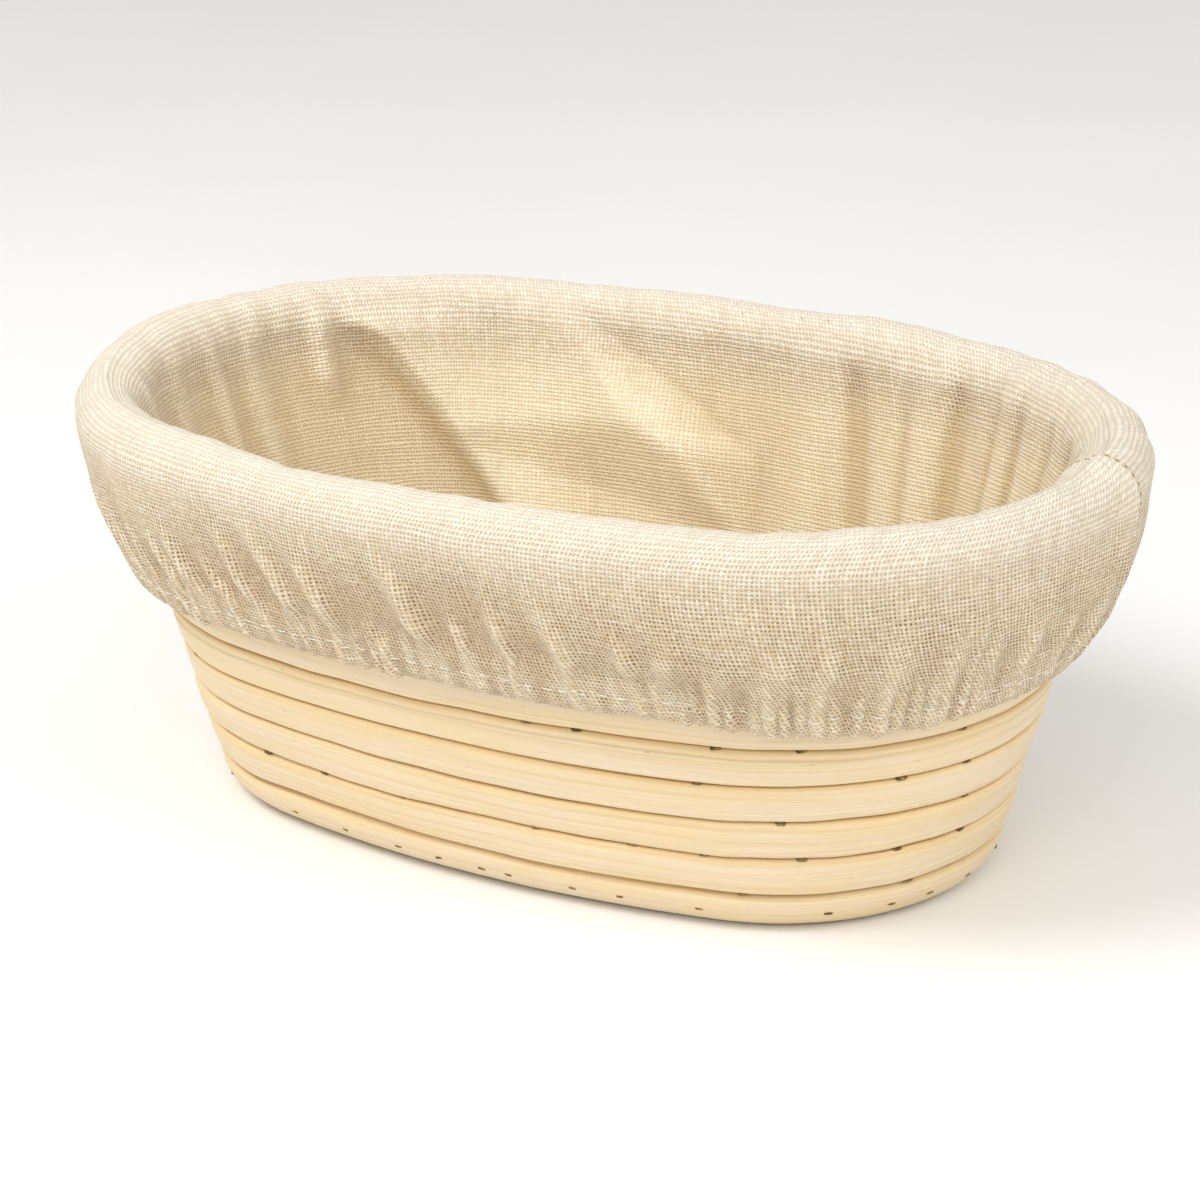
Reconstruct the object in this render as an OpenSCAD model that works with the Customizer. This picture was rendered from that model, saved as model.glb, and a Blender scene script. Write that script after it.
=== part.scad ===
// Oval cane proofing basket with a removable fabric liner.
// Every level of the basket is the same oval, grown or shrunk evenly all
// round: two end arcs and two long side arcs that meet without a kink.
// An oval is named by its half width, measured from the middle to the
// front. Its half length is then larger by end_x minus side_dip.
// X runs along the basket, Y across it, Z up. Z = 0 is the table.

/* [Oval] */
// Distance from the middle to the centre of each end arc
end_x = 44.5; // [44:0.5:45]
// How much smaller an end arc's radius is than the oval's half width
side_dip = 5; // [5:0.5:6]

/* [Cane wall] */
// Half width of the wall line at table level
foot_half_width = 50.45; // [50:0.05:51]
// How far the wall moves outward for each millimetre of height
lean = 0.272; // [0.26:0.002:0.28]
// Height of the lowest cane ring
first_ring_h = 9.4; // [9.3:0.05:9.5]
// Height of each ring above it
ring_pitch = 8.8; // [8.7:0.05:8.9]
// Thickness of the cane between the two joint lines
cane_t = 4.6; // [4.4:0.1:4.7]
// How far each cane bulges past the joint lines, inside and outside
cane_bulge = 0.8; // [0.4:0.1:0.9]

/* [Cane base] */
// Width of one flat lying coil of the base
base_coil_w = 8.6; // [8.5:0.05:8.6]
// Height of the base coils
base_coil_h = 9.2; // [8.6:0.1:9.2]
// Free space between neighbouring base coils
base_gap = 0.1; // [0.05:0.05:0.15]

/* [Staples] */
// Length of a staple's back
staple_len = 2.4; // [2:0.1:3.5]
// Length of the back of a staple in the foot row
foot_staple_len = 1.8; // [1.5:0.1:3]
// Thickness of the staple wire
staple_wire = 0.5; // [0.4:0.1:0.8]
// How far the staple legs go into the cane
staple_leg = 3.6; // [2.5:0.1:4]

/* [Fabric liner] */
// Thickness of the fabric with its loose folds
cloth_t = 1.2; // [1:0.05:1.25]
// Free space between the cane's inner bulge line and the fabric
cloth_gap = 0.7; // [0.6:0.05:0.8]
// Height of the underside of the liner's bottom panel
panel_z = 11; // [10.9:0.05:11.2]
// Height at which the fabric starts to turn over the rim
turn_z = 86.4; // [86:0.1:86.6]
// Outer radius of the turn over the rim
turn_r = 6.7; // [6.6:0.05:6.8]
// Height of the seam between the skirt and its hem casing
hem_top_z = 55; // [54.9:0.1:55.1]
// How strongly the skirt curves in towards its hem
skirt_curve = 0.00685; // [0.0067:0.00005:0.007]
// Number of running stitches round the hem
hem_stitches = 96; // [40:4:120]

/* [Hidden] */
$fn = 96;
ring_count = 10;

// Distance from the middle to the centre of each long side arc, which
// makes the arcs meet without a kink, and the turn of each arc on either
// side of its own axis.
mid_y = (end_x * end_x / side_dip - side_dip) / 2;
side_turn = atan(end_x / mid_y);
end_turn = 90 - side_turn;

function wall(z) = foot_half_width + lean * z;
function ring_z(k) = k <= 0 ? 0 : first_ring_h + (k - 1) * ring_pitch;
tilt = atan(lean);
normal = [cos(tilt), -sin(tilt)];

// Half widths of the fabric's two faces at a height, inside the basket
function cloth_out(z) = wall(z) - (cane_t + cane_bulge) - cloth_gap;
function cloth_in(z) = cloth_out(z) - cloth_t;
turn_b = cloth_in(turn_z) + turn_r;
// The skirt hangs from the turn's outer edge and curves in downwards
function skirt_out(z) = turn_b + turn_r - skirt_curve * pow(turn_z - z, 2);

cane_tan = [0.945, 0.855, 0.70];
cane_tan_b = [0.925, 0.825, 0.655];
steel_dark = [0.24, 0.19, 0.14];
linen = [0.86, 0.80, 0.69];
linen_light = [0.90, 0.85, 0.75];
linen_dark = [0.80, 0.73, 0.61];
thread_white = [0.95, 0.94, 0.90];
elastic_white = [0.92, 0.91, 0.88];

// Sweeps a flat profile round the oval. In the profile, x is the half
// width and y is the height. Each arc is a full turn about its own
// centre, cut off on the lines through the arc centres, where it meets
// its neighbours face to face.
module round_oval() {
    tall = 120;
    for (s = [0, 1]) mirror([s, 0, 0]) intersection() {
        translate([end_x, 0, 0]) rotate_extrude() translate([-side_dip, 0]) children();
        linear_extrude(tall)
            polygon([[end_x, 0], [2 * end_x, -mid_y], [400, -mid_y],
                     [400, mid_y], [2 * end_x, mid_y]]);
    }
    for (s = [0, 1]) mirror([0, s, 0]) intersection() {
        translate([0, -mid_y, 0]) rotate_extrude($fn = 400) translate([mid_y, 0]) children();
        linear_extrude(tall)
            polygon([[0, -mid_y], [2 * end_x, mid_y], [-2 * end_x, mid_y]]);
    }
}

// The filled oval of half width b
module oval_area(b) {
    r = b + mid_y;
    join_x = r * sin(side_turn);
    for (s = [-1, 1]) translate([s * end_x, 0]) circle(b - side_dip);
    intersection() {
        translate([0, -mid_y]) circle(r, $fn = 400);
        translate([0, mid_y]) circle(r, $fn = 400);
        square([2 * join_x, 4 * b], center = true);
    }
}

// Point of the oval of half width b whose outward direction has angle t
function wrap(t) = t > 180 ? wrap(t - 360) : t <= -180 ? wrap(t + 360) : t;
function spot(t, b) = let (a = wrap(t))
    abs(a) <= end_turn ? [end_x + (b - side_dip) * cos(a), (b - side_dip) * sin(a)]
    : abs(a) >= 180 - end_turn ? [-end_x + (b - side_dip) * cos(a), (b - side_dip) * sin(a)]
    : a > 0 ? [(b + mid_y) * cos(a), -mid_y + (b + mid_y) * sin(a)]
    : [(b + mid_y) * cos(a), mid_y + (b + mid_y) * sin(a)];

// Outward direction at a length s along the oval of half width b, from
// the start of the right end arc and anticlockwise
function end_len(b) = (b - side_dip) * 2 * end_turn * PI / 180;
function side_len(b) = (b + mid_y) * 2 * side_turn * PI / 180;
function girth(b) = 2 * (end_len(b) + side_len(b));
function way(s, b) = s > girth(b) / 2 ? 180 + way(s - girth(b) / 2, b)
    : s <= end_len(b) ? -end_turn + s / (b - side_dip) * 180 / PI
    : 90 - side_turn + (s - end_len(b)) / (b + mid_y) * 180 / PI;

// Puts children on the oval of half width b at height z, with X along the
// oval and Y outward
module on_oval(t, b, z) {
    p = spot(t, b);
    translate([p[0], p[1], z]) rotate([0, 0, t - 90]) children();
}

// Cross-section of one cane: a flattened round between two level joints
module cane_section(z0, z1) {
    mid = [wall((z0 + z1) / 2), (z0 + z1) / 2];
    half = (z1 - z0) / 2 / cos(tilt);
    r = (half * half + cane_bulge * cane_bulge) / (2 * cane_bulge);
    c_out = mid - normal * (r - cane_bulge);
    c_in = mid - normal * (cane_t * cos(tilt)) + normal * (r - cane_bulge);
    intersection() {
        translate(c_out) circle(r);
        translate(c_in) circle(r);
        translate([mid[0] - 20, z0]) square([40, z1 - z0]);
    }
}

// Lowest cane: round outside and underneath, with a flat foot
module foot_section() {
    inner = foot_half_width - 7.45;
    intersection() {
        translate([foot_half_width - 6.45, 9]) circle(9.2);
        translate([inner, 0]) square([20, first_ring_h]);
    }
}

// Top cane: the same section with a rounded top edge
module rim_section() {
    z0 = ring_z(ring_count - 1);
    z1 = ring_z(ring_count);
    intersection() {
        cane_section(z0, z1);
        translate([wall((z0 + z1) / 2) - cane_t / 2, z0 + 3.6]) circle(5.4);
    }
}

module wall_ring(k) {
    color(k % 2 == 0 ? cane_tan : cane_tan_b) round_oval() {
        if (k == 1) foot_section();
        else if (k == ring_count) rim_section();
        else cane_section(ring_z(k - 1), ring_z(k));
    }
}

// A coil lying flat in the base, counted from the wall inwards, with its
// lower and upper edges eased
module base_coil(k) {
    outer = foot_half_width - 7.45 - base_gap - (k - 1) * (base_coil_w + base_gap);
    e = 1.2;
    h = base_coil_h;
    w = base_coil_w;
    color(k % 2 == 0 ? cane_tan_b : cane_tan) round_oval()
        translate([outer - w, 0])
            polygon([[e, 0], [w - e, 0], [w, e], [w, h - e], [w - e, h],
                     [e, h], [0, h - e], [0, e]]);
}

// The straight cane in the middle that the base is coiled round
module base_core() {
    outer = foot_half_width - 7.45 - base_gap - 4 * (base_coil_w + base_gap);
    color(cane_tan) linear_extrude(base_coil_h) oval_area(outer);
}

// One wire staple: a back along X and two legs going inward along -Y
module staple(l = staple_len) {
    w = staple_wire;
    translate([-l / 2, 0, -w / 2]) cube([l, w, w]);
    for (s = [-1, 1])
        translate([s * (l - w) / 2 - w / 2, -staple_leg, -w / 2])
            cube([w, staple_leg + w / 2, w]);
}

// Staples along the joints, as outward directions. The first five rows
// are below the fabric, counted upwards from the foot.
joint_rows = [
    [-70, -28, 40, 112, 152],
    [-102.5, -98.5, -93.5, -86, -81, -77.5, -56, -33, -14, 24, 78, 86, 94, 102, 148],
    [-61, -16, 58, 96, 132],
    [-124, -77.5, -35, -18, 30, 84, 110, 160],
    [-85.5, -83, -74, -57, -22, 35, 81, 99, 140],
    [-112, -58, 12, 72, 128, 168],
    [-96, -40, 28, 88, 146],
    [-120, -80, -8, 60, 104, 156],
    [-100, -52, 20, 82, 134]];
module wall_staples() {
    color(steel_dark) for (k = [1 : ring_count - 1]) for (t = joint_rows[k - 1])
        on_oval(t, wall(ring_z(k)) - 0.1, ring_z(k)) staple();
}

foot_row = [-129, -101.5, -98, -94.5, -92, -89.5, -88, -84.5, -82, -78, -49,
            -32, -20, -5, 14, 40, 79, 84, 88, 92, 97, 101, 130, 160];
foot_staple_z = 4.5;
module foot_staples() {
    color(steel_dark) for (t = foot_row)
        on_oval(t, foot_half_width + 1.45, foot_staple_z) staple(foot_staple_len);
}

// Staples in the grooves of the underside, across neighbouring coils
module base_staples() {
    color(steel_dark) for (k = [1 : 4]) {
        b = foot_half_width - 7.45 - base_gap / 2 - (k - 1) * (base_coil_w + base_gap);
        for (t = [-86, 0, 94, 180] + [1, 1, 1, 1] * (k % 2) * 6)
            on_oval(t, b, 0.75) rotate([0, 0, 90]) rotate([90, 0, 0])
                mirror([0, 1, 0]) staple();
    }
}

// Flat bottom of the liner
module liner_base_panel() {
    color(linen_light) translate([0, 0, panel_z]) linear_extrude(cloth_t)
        oval_area(cloth_out(panel_z + cloth_t));
}

// Turned under seam edge between the bottom and the side strip
module liner_base_seam() {
    b = cloth_out(panel_z) - 0.2;
    color(linen_dark) round_oval()
        translate([b - 4, panel_z - 1]) square([4, 1]);
}

// Fabric that lines the inside of the wall
module liner_side_panel() {
    z0 = panel_z + cloth_t;
    color(linen) round_oval()
        polygon([[cloth_out(z0), z0], [cloth_out(turn_z), turn_z],
                 [cloth_in(turn_z), turn_z], [cloth_in(z0), z0]]);
}

// Half round turn of the fabric over the rim
module liner_rim_fold() {
    color(linen_light) round_oval() intersection() {
        translate([turn_b, turn_z]) difference() {
            circle(turn_r);
            circle(turn_r - cloth_t);
        }
        translate([turn_b - 10, turn_z]) square([20, 10]);
    }
}

// Outer skirt, from the turn down to the hem casing
skirt_steps = 10;
module liner_skirt() {
    heights = [for (i = [0 : skirt_steps]) turn_z - (turn_z - hem_top_z) * i / skirt_steps];
    back = [for (i = [skirt_steps : -1 : 0]) heights[i]];
    color(linen) round_oval()
        polygon(concat([for (z = heights) [skirt_out(z), z]],
                       [for (z = back) [skirt_out(z) - cloth_t, z]]));
}

// Folded casing at the bottom of the skirt, hollow for the elastic
module liner_hem_casing() {
    e = skirt_out(hem_top_z);
    z = hem_top_z;
    color(linen_dark) round_oval() difference() {
        polygon([[e, z], [e - 1.3, z - 3], [e - 2.7, z - 5.4], [e - 4.2, z - 6.3],
                 [e - 6, z - 6.4], [e - 7, z - 5.4], [e - 7.2, z - 3],
                 [e - 6.2, z - 1], [e - 4, z]]);
        polygon([[e - 1.3, z - 1], [e - 2.3, z - 2.7], [e - 3.5, z - 4.7],
                 [e - 4.5, z - 5.3], [e - 5.6, z - 5.3], [e - 6.1, z - 4.6],
                 [e - 6.2, z - 3.2], [e - 5.4, z - 1.8], [e - 3.7, z - 1]]);
    }
}

// Flat elastic band inside the casing
module liner_hem_elastic() {
    e = skirt_out(hem_top_z);
    color(elastic_white) round_oval()
        translate([e - 5.1, hem_top_z - 4.6]) square([0.9, 2.8]);
}

// Running stitches that close the casing, each a short laid thread
module liner_hem_stitching() {
    z = hem_top_z + 0.4;
    b = skirt_out(z) + 0.25;
    color(thread_white) for (i = [0 : hem_stitches - 1])
        on_oval(way((i + 0.5) * girth(b) / hem_stitches, b), b, z)
            translate([-1.6, 0, 0]) cube([3.2, 0.5, 0.5]);
}

// Raised seam that closes the side strip at the right-hand end: up the
// inside, over the turn and down the skirt
seam_turn = 5;
seam_w = 2.6;
seam_t = 0.5;
module liner_side_seam() {
    z0 = panel_z + cloth_t + 0.3;
    skirt = [for (i = [0 : 8]) turn_z - (turn_z - hem_top_z - 2) * i / 8];
    path = concat(
        [[cloth_in(z0), z0]],
        [for (a = [180 : -20 : 0]) [turn_b + turn_r * cos(a), turn_z + turn_r * sin(a)]],
        [for (z = skirt) if (z < turn_z) [skirt_out(z), z]]);
    near = concat(
        [[-0.1, 0]], [for (a = [180 : -20 : 0]) [cos(a), sin(a)] * 0.15],
        [for (z = skirt) if (z < turn_z) [0.15, 0]]);
    far = concat(
        [[-0.1 - seam_t, 0]], [for (a = [180 : -20 : 0]) [cos(a), sin(a)] * (0.15 + seam_t)],
        [for (z = skirt) if (z < turn_z) [0.15 + seam_t, 0]]);
    n = len(path);
    color(linen_dark) on_oval(seam_turn, 0, 0) rotate([90, 0, 90])
        translate([0, 0, -seam_w / 2]) linear_extrude(seam_w)
            polygon(concat([for (i = [0 : n - 1]) path[i] + far[i]],
                           [for (i = [n - 1 : -1 : 0]) path[i] + near[i]]));
}

wall_ring(1);  // wall_ring_01
wall_ring(2);  // wall_ring_02
wall_ring(3);  // wall_ring_03
wall_ring(4);  // wall_ring_04
wall_ring(5);  // wall_ring_05
wall_ring(6);  // wall_ring_06
wall_ring(7);  // wall_ring_07
wall_ring(8);  // wall_ring_08
wall_ring(9);  // wall_ring_09
wall_ring(10);  // rim_ring_10
base_core();
base_coil(1);  // base_coil_01
base_coil(2);  // base_coil_02
base_coil(3);  // base_coil_03
base_coil(4);  // base_coil_04
wall_staples();
foot_staples();
base_staples();
liner_base_panel();
liner_base_seam();
liner_side_panel();
liner_rim_fold();
liner_skirt();
liner_hem_casing();
liner_hem_elastic();
liner_hem_stitching();
liner_side_seam();
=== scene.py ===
import bpy, math
import numpy as np
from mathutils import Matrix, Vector
from mathutils.bvhtree import BVHTree


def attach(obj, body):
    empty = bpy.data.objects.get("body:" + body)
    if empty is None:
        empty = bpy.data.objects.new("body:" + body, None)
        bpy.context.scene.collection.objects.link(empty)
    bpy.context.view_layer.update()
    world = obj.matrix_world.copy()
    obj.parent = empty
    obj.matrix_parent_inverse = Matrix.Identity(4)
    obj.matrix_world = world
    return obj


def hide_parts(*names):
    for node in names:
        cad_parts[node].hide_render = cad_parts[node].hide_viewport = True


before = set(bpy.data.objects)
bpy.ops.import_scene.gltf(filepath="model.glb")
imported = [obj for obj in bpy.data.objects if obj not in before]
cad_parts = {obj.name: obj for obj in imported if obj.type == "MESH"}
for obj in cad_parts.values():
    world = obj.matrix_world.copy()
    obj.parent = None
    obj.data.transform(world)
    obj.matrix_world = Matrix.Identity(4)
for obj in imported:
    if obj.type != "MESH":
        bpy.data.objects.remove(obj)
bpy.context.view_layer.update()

MM = 0.001

# ------------------------------------------------------------------ oval
# The family of ovals that the CAD model is made of, in millimetres.
EX, DIP = 44.5, 5.0
MY = (EX * EX / DIP - DIP) / 2
ST = math.atan(EX / MY)              # half turn of a side arc
ET = math.pi / 2 - ST                # half turn of an end arc
BR = 80.0                            # reference half width for lengths
LE = (BR - DIP) * ET
LS = (BR + MY) * 2 * ST
GIRTH = 4 * LE + 2 * LS


def turn_at(s):
    """Outward direction, in radians, at length s along the reference oval from its left tip, anticlockwise from above."""
    s = np.mod(np.asarray(s, float), GIRTH)
    k = np.array([0, LE, LE + LS, 3 * LE + LS, 3 * LE + 2 * LS, GIRTH])
    a = np.array([-math.pi, -math.pi + ET, -ET, ET, math.pi - ET, math.pi])
    return np.interp(s, k, a)


def place(s, b):
    """Points of the oval of half width b."""
    t = turn_at(s)
    b = np.asarray(b, float)
    t, b = np.broadcast_arrays(t, b)
    end = (np.abs(t) <= ET) | (np.abs(t) >= math.pi - ET)
    cx = np.where(end, np.where(np.abs(t) <= ET, EX, -EX), 0.0)
    cy = np.where(end, 0.0, np.where(t > 0, -MY, MY))
    r = np.where(end, b - DIP, b + MY)
    return cx + r * np.cos(t), cy + r * np.sin(t)


def s_of(deg):
    """Length on the reference oval where the outward direction is deg."""
    a = np.array([-math.pi, -math.pi + ET, -ET, ET, math.pi - ET, math.pi])
    k = np.array([0, LE, LE + LS, 3 * LE + LS, 3 * LE + 2 * LS, GIRTH])
    return float(np.interp(math.radians((deg + 180) % 360 - 180), a, k))


def waves(s, lo, hi, amp, seed, n=10):
    """Smooth closed noise along the oval, of wavelengths from lo to hi millimetres."""
    rng = np.random.default_rng(seed)
    out = np.zeros_like(np.asarray(s, float))
    for _ in range(n):
        k = max(1, round(GIRTH / math.exp(rng.uniform(math.log(lo), math.log(hi)))))
        out += math.sqrt(2 / n) * rng.normal() * np.cos(2 * math.pi * k * s / GIRTH + rng.uniform(0, 2 * math.pi))
    return amp * out


def smooth(a, b, x):
    x = np.clip((np.asarray(x, float) - a) / (b - a), 0, 1)
    return x * x * (3 - 2 * x)


# ------------------------------------------------------------- CAD sizes
LEAN, FOOT_B = 0.272, 50.45
FIRST, PITCH = 9.4, 8.8
CANE_T, BULGE = 4.6, 0.8


def wall(z):
    return FOOT_B + LEAN * z


def ring_z(k):
    return 0.0 if k <= 0 else FIRST + (k - 1) * PITCH


# ---------------------------------------------------------------- meshes
def grid_mesh(name, X, Y, Z, uv=None, close_u=True, close_v=False, flip=False, attrs=None):
    """A sheet or tube of quads from arrays indexed [around, across], in millimetres."""
    nu, nv = X.shape
    co = np.stack([X, Y, Z], -1).reshape(-1, 3) * MM
    iu = np.arange(nu if close_u else nu - 1)
    iv = np.arange(nv if close_v else nv - 1)
    I, J = np.meshgrid(iu, iv, indexing="ij")
    I2, J2 = (I + 1) % nu, (J + 1) % nv
    q = np.stack([I * nv + J, I2 * nv + J, I2 * nv + J2, I * nv + J2], -1).reshape(-1, 4)
    if flip:
        q = q[:, ::-1]
    me = bpy.data.meshes.new(name)
    me.vertices.add(len(co))
    me.vertices.foreach_set("co", co.astype(np.float32).ravel())
    me.loops.add(q.size)
    me.loops.foreach_set("vertex_index", q.astype(np.int32).ravel())
    me.polygons.add(len(q))
    me.polygons.foreach_set("loop_start", np.arange(0, q.size, 4, dtype=np.int32))
    me.polygons.foreach_set("loop_total", np.full(len(q), 4, dtype=np.int32))
    me.update(calc_edges=True)
    if uv is not None:
        U, V = uv                                    # arrays one longer where closed
        a = np.stack([U[I, J], V[I, J]], -1)
        b = np.stack([U[I + 1, J], V[I + 1, J]], -1)
        c = np.stack([U[I + 1, J + 1], V[I + 1, J + 1]], -1)
        d = np.stack([U[I, J + 1], V[I, J + 1]], -1)
        w = np.stack([a, b, c, d], -2).reshape(-1, 4, 2)
        if flip:
            w = w[:, ::-1]
        me.uv_layers.new(name="UVMap").data.foreach_set("uv", w.astype(np.float32).ravel())
    for key, val in (attrs or {}).items():
        at = me.attributes.new(key, "FLOAT", "POINT")
        at.data.foreach_set("value", np.asarray(val, np.float32).ravel())
    me.shade_smooth()
    me.validate()
    ob = bpy.data.objects.new(name, me)
    bpy.context.scene.collection.objects.link(ob)
    return ob


def join_meshes(name, parts):
    """One object from (vertices, faces) pairs in millimetres."""
    V, F, n = [], [], 0
    for v, f in parts:
        V.append(np.asarray(v, float))
        F += [[i + n for i in g] for g in f]
        n += len(v)
    me = bpy.data.meshes.new(name)
    me.from_pydata((np.concatenate(V) * MM).tolist(), [], F)
    me.update()
    me.shade_smooth()
    ob = bpy.data.objects.new(name, me)
    bpy.context.scene.collection.objects.link(ob)
    return ob


def tube(path, radius, sides=8, squash=1.0):
    """A closed tube with rounded ends along points in millimetres."""
    P = np.asarray(path, float)
    T = np.gradient(P, axis=0)
    T /= np.linalg.norm(T, axis=1)[:, None]
    up = np.array([0.0, 0.0, 1.0])
    A = np.cross(T, up)
    A /= np.maximum(np.linalg.norm(A, axis=1), 1e-9)[:, None]
    B = np.cross(A, T)
    r = np.broadcast_to(np.asarray(radius, float), (len(P),)).copy()
    V, F = [], []
    for i in range(len(P)):
        for k in range(sides):
            a = 2 * math.pi * k / sides
            V.append(P[i] + r[i] * (math.cos(a) * A[i] * squash + math.sin(a) * B[i]))
    for i in range(len(P) - 1):
        for k in range(sides):
            k2 = (k + 1) % sides
            F.append([i * sides + k, i * sides + k2, (i + 1) * sides + k2, (i + 1) * sides + k])
    V.append(P[0] - T[0] * r[0] * 0.6)
    V.append(P[-1] + T[-1] * r[-1] * 0.6)
    a, b = len(V) - 2, len(V) - 1
    for k in range(sides):
        k2 = (k + 1) % sides
        F.append([a, k2, k])
        F.append([b, (len(P) - 1) * sides + k, (len(P) - 1) * sides + k2])
    return np.array(V), F


# ------------------------------------------------------------- materials
class Nodes:
    """Short hand for building a material's nodes."""

    def __init__(self, name):
        self.mat = bpy.data.materials.new(name)
        self.mat.use_nodes = True
        self.t = self.mat.node_tree
        self.t.nodes.clear()
        self.out = self.t.nodes.new("ShaderNodeOutputMaterial")
        self.bsdf = self.t.nodes.new("ShaderNodeBsdfPrincipled")
        self.t.links.new(self.bsdf.outputs[0], self.out.inputs[0])

    def put(self, sock, v):
        if v is None:
            return
        if hasattr(v, "is_output"):
            self.t.links.new(v, sock)
        elif isinstance(v, (tuple, list)) and len(v) == 3 and sock.type == "RGBA":
            sock.default_value = (*v, 1.0)
        else:
            sock.default_value = v

    def math(self, op, a, b=None, c=None, clamp=False):
        n = self.t.nodes.new("ShaderNodeMath")
        n.operation, n.use_clamp = op, clamp
        for i, v in enumerate((a, b, c)):
            self.put(n.inputs[i], v)
        return n.outputs[0]

    def vec(self, x=0.0, y=0.0, z=0.0):
        n = self.t.nodes.new("ShaderNodeCombineXYZ")
        for i, v in enumerate((x, y, z)):
            self.put(n.inputs[i], v)
        return n.outputs[0]

    def uv(self):
        n = self.t.nodes.new("ShaderNodeUVMap")
        n.uv_map = "UVMap"
        s = self.t.nodes.new("ShaderNodeSeparateXYZ")
        self.t.links.new(n.outputs[0], s.inputs[0])
        return s.outputs[0], s.outputs[1]

    def pos(self):
        n = self.t.nodes.new("ShaderNodeTexCoord")
        return n.outputs["Object"]

    def attr(self, name):
        n = self.t.nodes.new("ShaderNodeAttribute")
        n.attribute_name = name
        return n.outputs["Fac"]

    def noise(self, vec, scale=1.0, detail=2.0, rough=0.5, dims="3D", w=None):
        n = self.t.nodes.new("ShaderNodeTexNoise")
        n.noise_dimensions = dims
        if dims == "1D":
            self.put(n.inputs["W"], w)
        else:
            self.put(n.inputs["Vector"], vec)
        n.inputs["Scale"].default_value = scale
        n.inputs["Detail"].default_value = detail
        n.inputs["Roughness"].default_value = rough
        return n.outputs[0]

    def white(self, w):
        n = self.t.nodes.new("ShaderNodeTexWhiteNoise")
        n.noise_dimensions = "1D"
        self.put(n.inputs["W"], w)
        return n.outputs[0]

    def ramp(self, v, stops, interp="LINEAR"):
        n = self.t.nodes.new("ShaderNodeValToRGB")
        n.color_ramp.interpolation = interp
        el = n.color_ramp.elements
        while len(el) < len(stops):
            el.new(0.5)
        for e, (p, c) in zip(el, stops):
            e.position = p
            e.color = (*c, 1.0) if len(c) == 3 else c
        self.put(n.inputs[0], v)
        return n.outputs[0]

    def span(self, v, a, b, c=0.0, d=1.0, kind="SMOOTHSTEP"):
        n = self.t.nodes.new("ShaderNodeMapRange")
        n.interpolation_type = kind
        for i, x in enumerate((v, a, b, c, d)):
            self.put(n.inputs[i], x)
        return n.outputs[0]

    def mix(self, fac, a, b, kind="MIX"):
        n = self.t.nodes.new("ShaderNodeMix")
        n.data_type, n.blend_type = "RGBA", kind
        self.put(n.inputs[0], fac)
        self.put(n.inputs[6], a)
        self.put(n.inputs[7], b)
        return n.outputs[2]

    def bump(self, height, strength, dist, normal=None):
        n = self.t.nodes.new("ShaderNodeBump")
        n.inputs["Strength"].default_value = strength
        n.inputs["Distance"].default_value = dist
        self.put(n.inputs["Height"], height)
        if normal is not None:
            self.put(n.inputs["Normal"], normal)
        return n.outputs[0]

    def done(self, color=None, rough=None, normal=None, **fixed):
        b = self.bsdf.inputs
        self.put(b["Base Color"], color)
        self.put(b["Roughness"], rough)
        if normal is not None:
            self.put(b["Normal"], normal)
        for k, v in fixed.items():
            b[k.replace("_", " ")].default_value = v
        return self.mat


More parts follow.
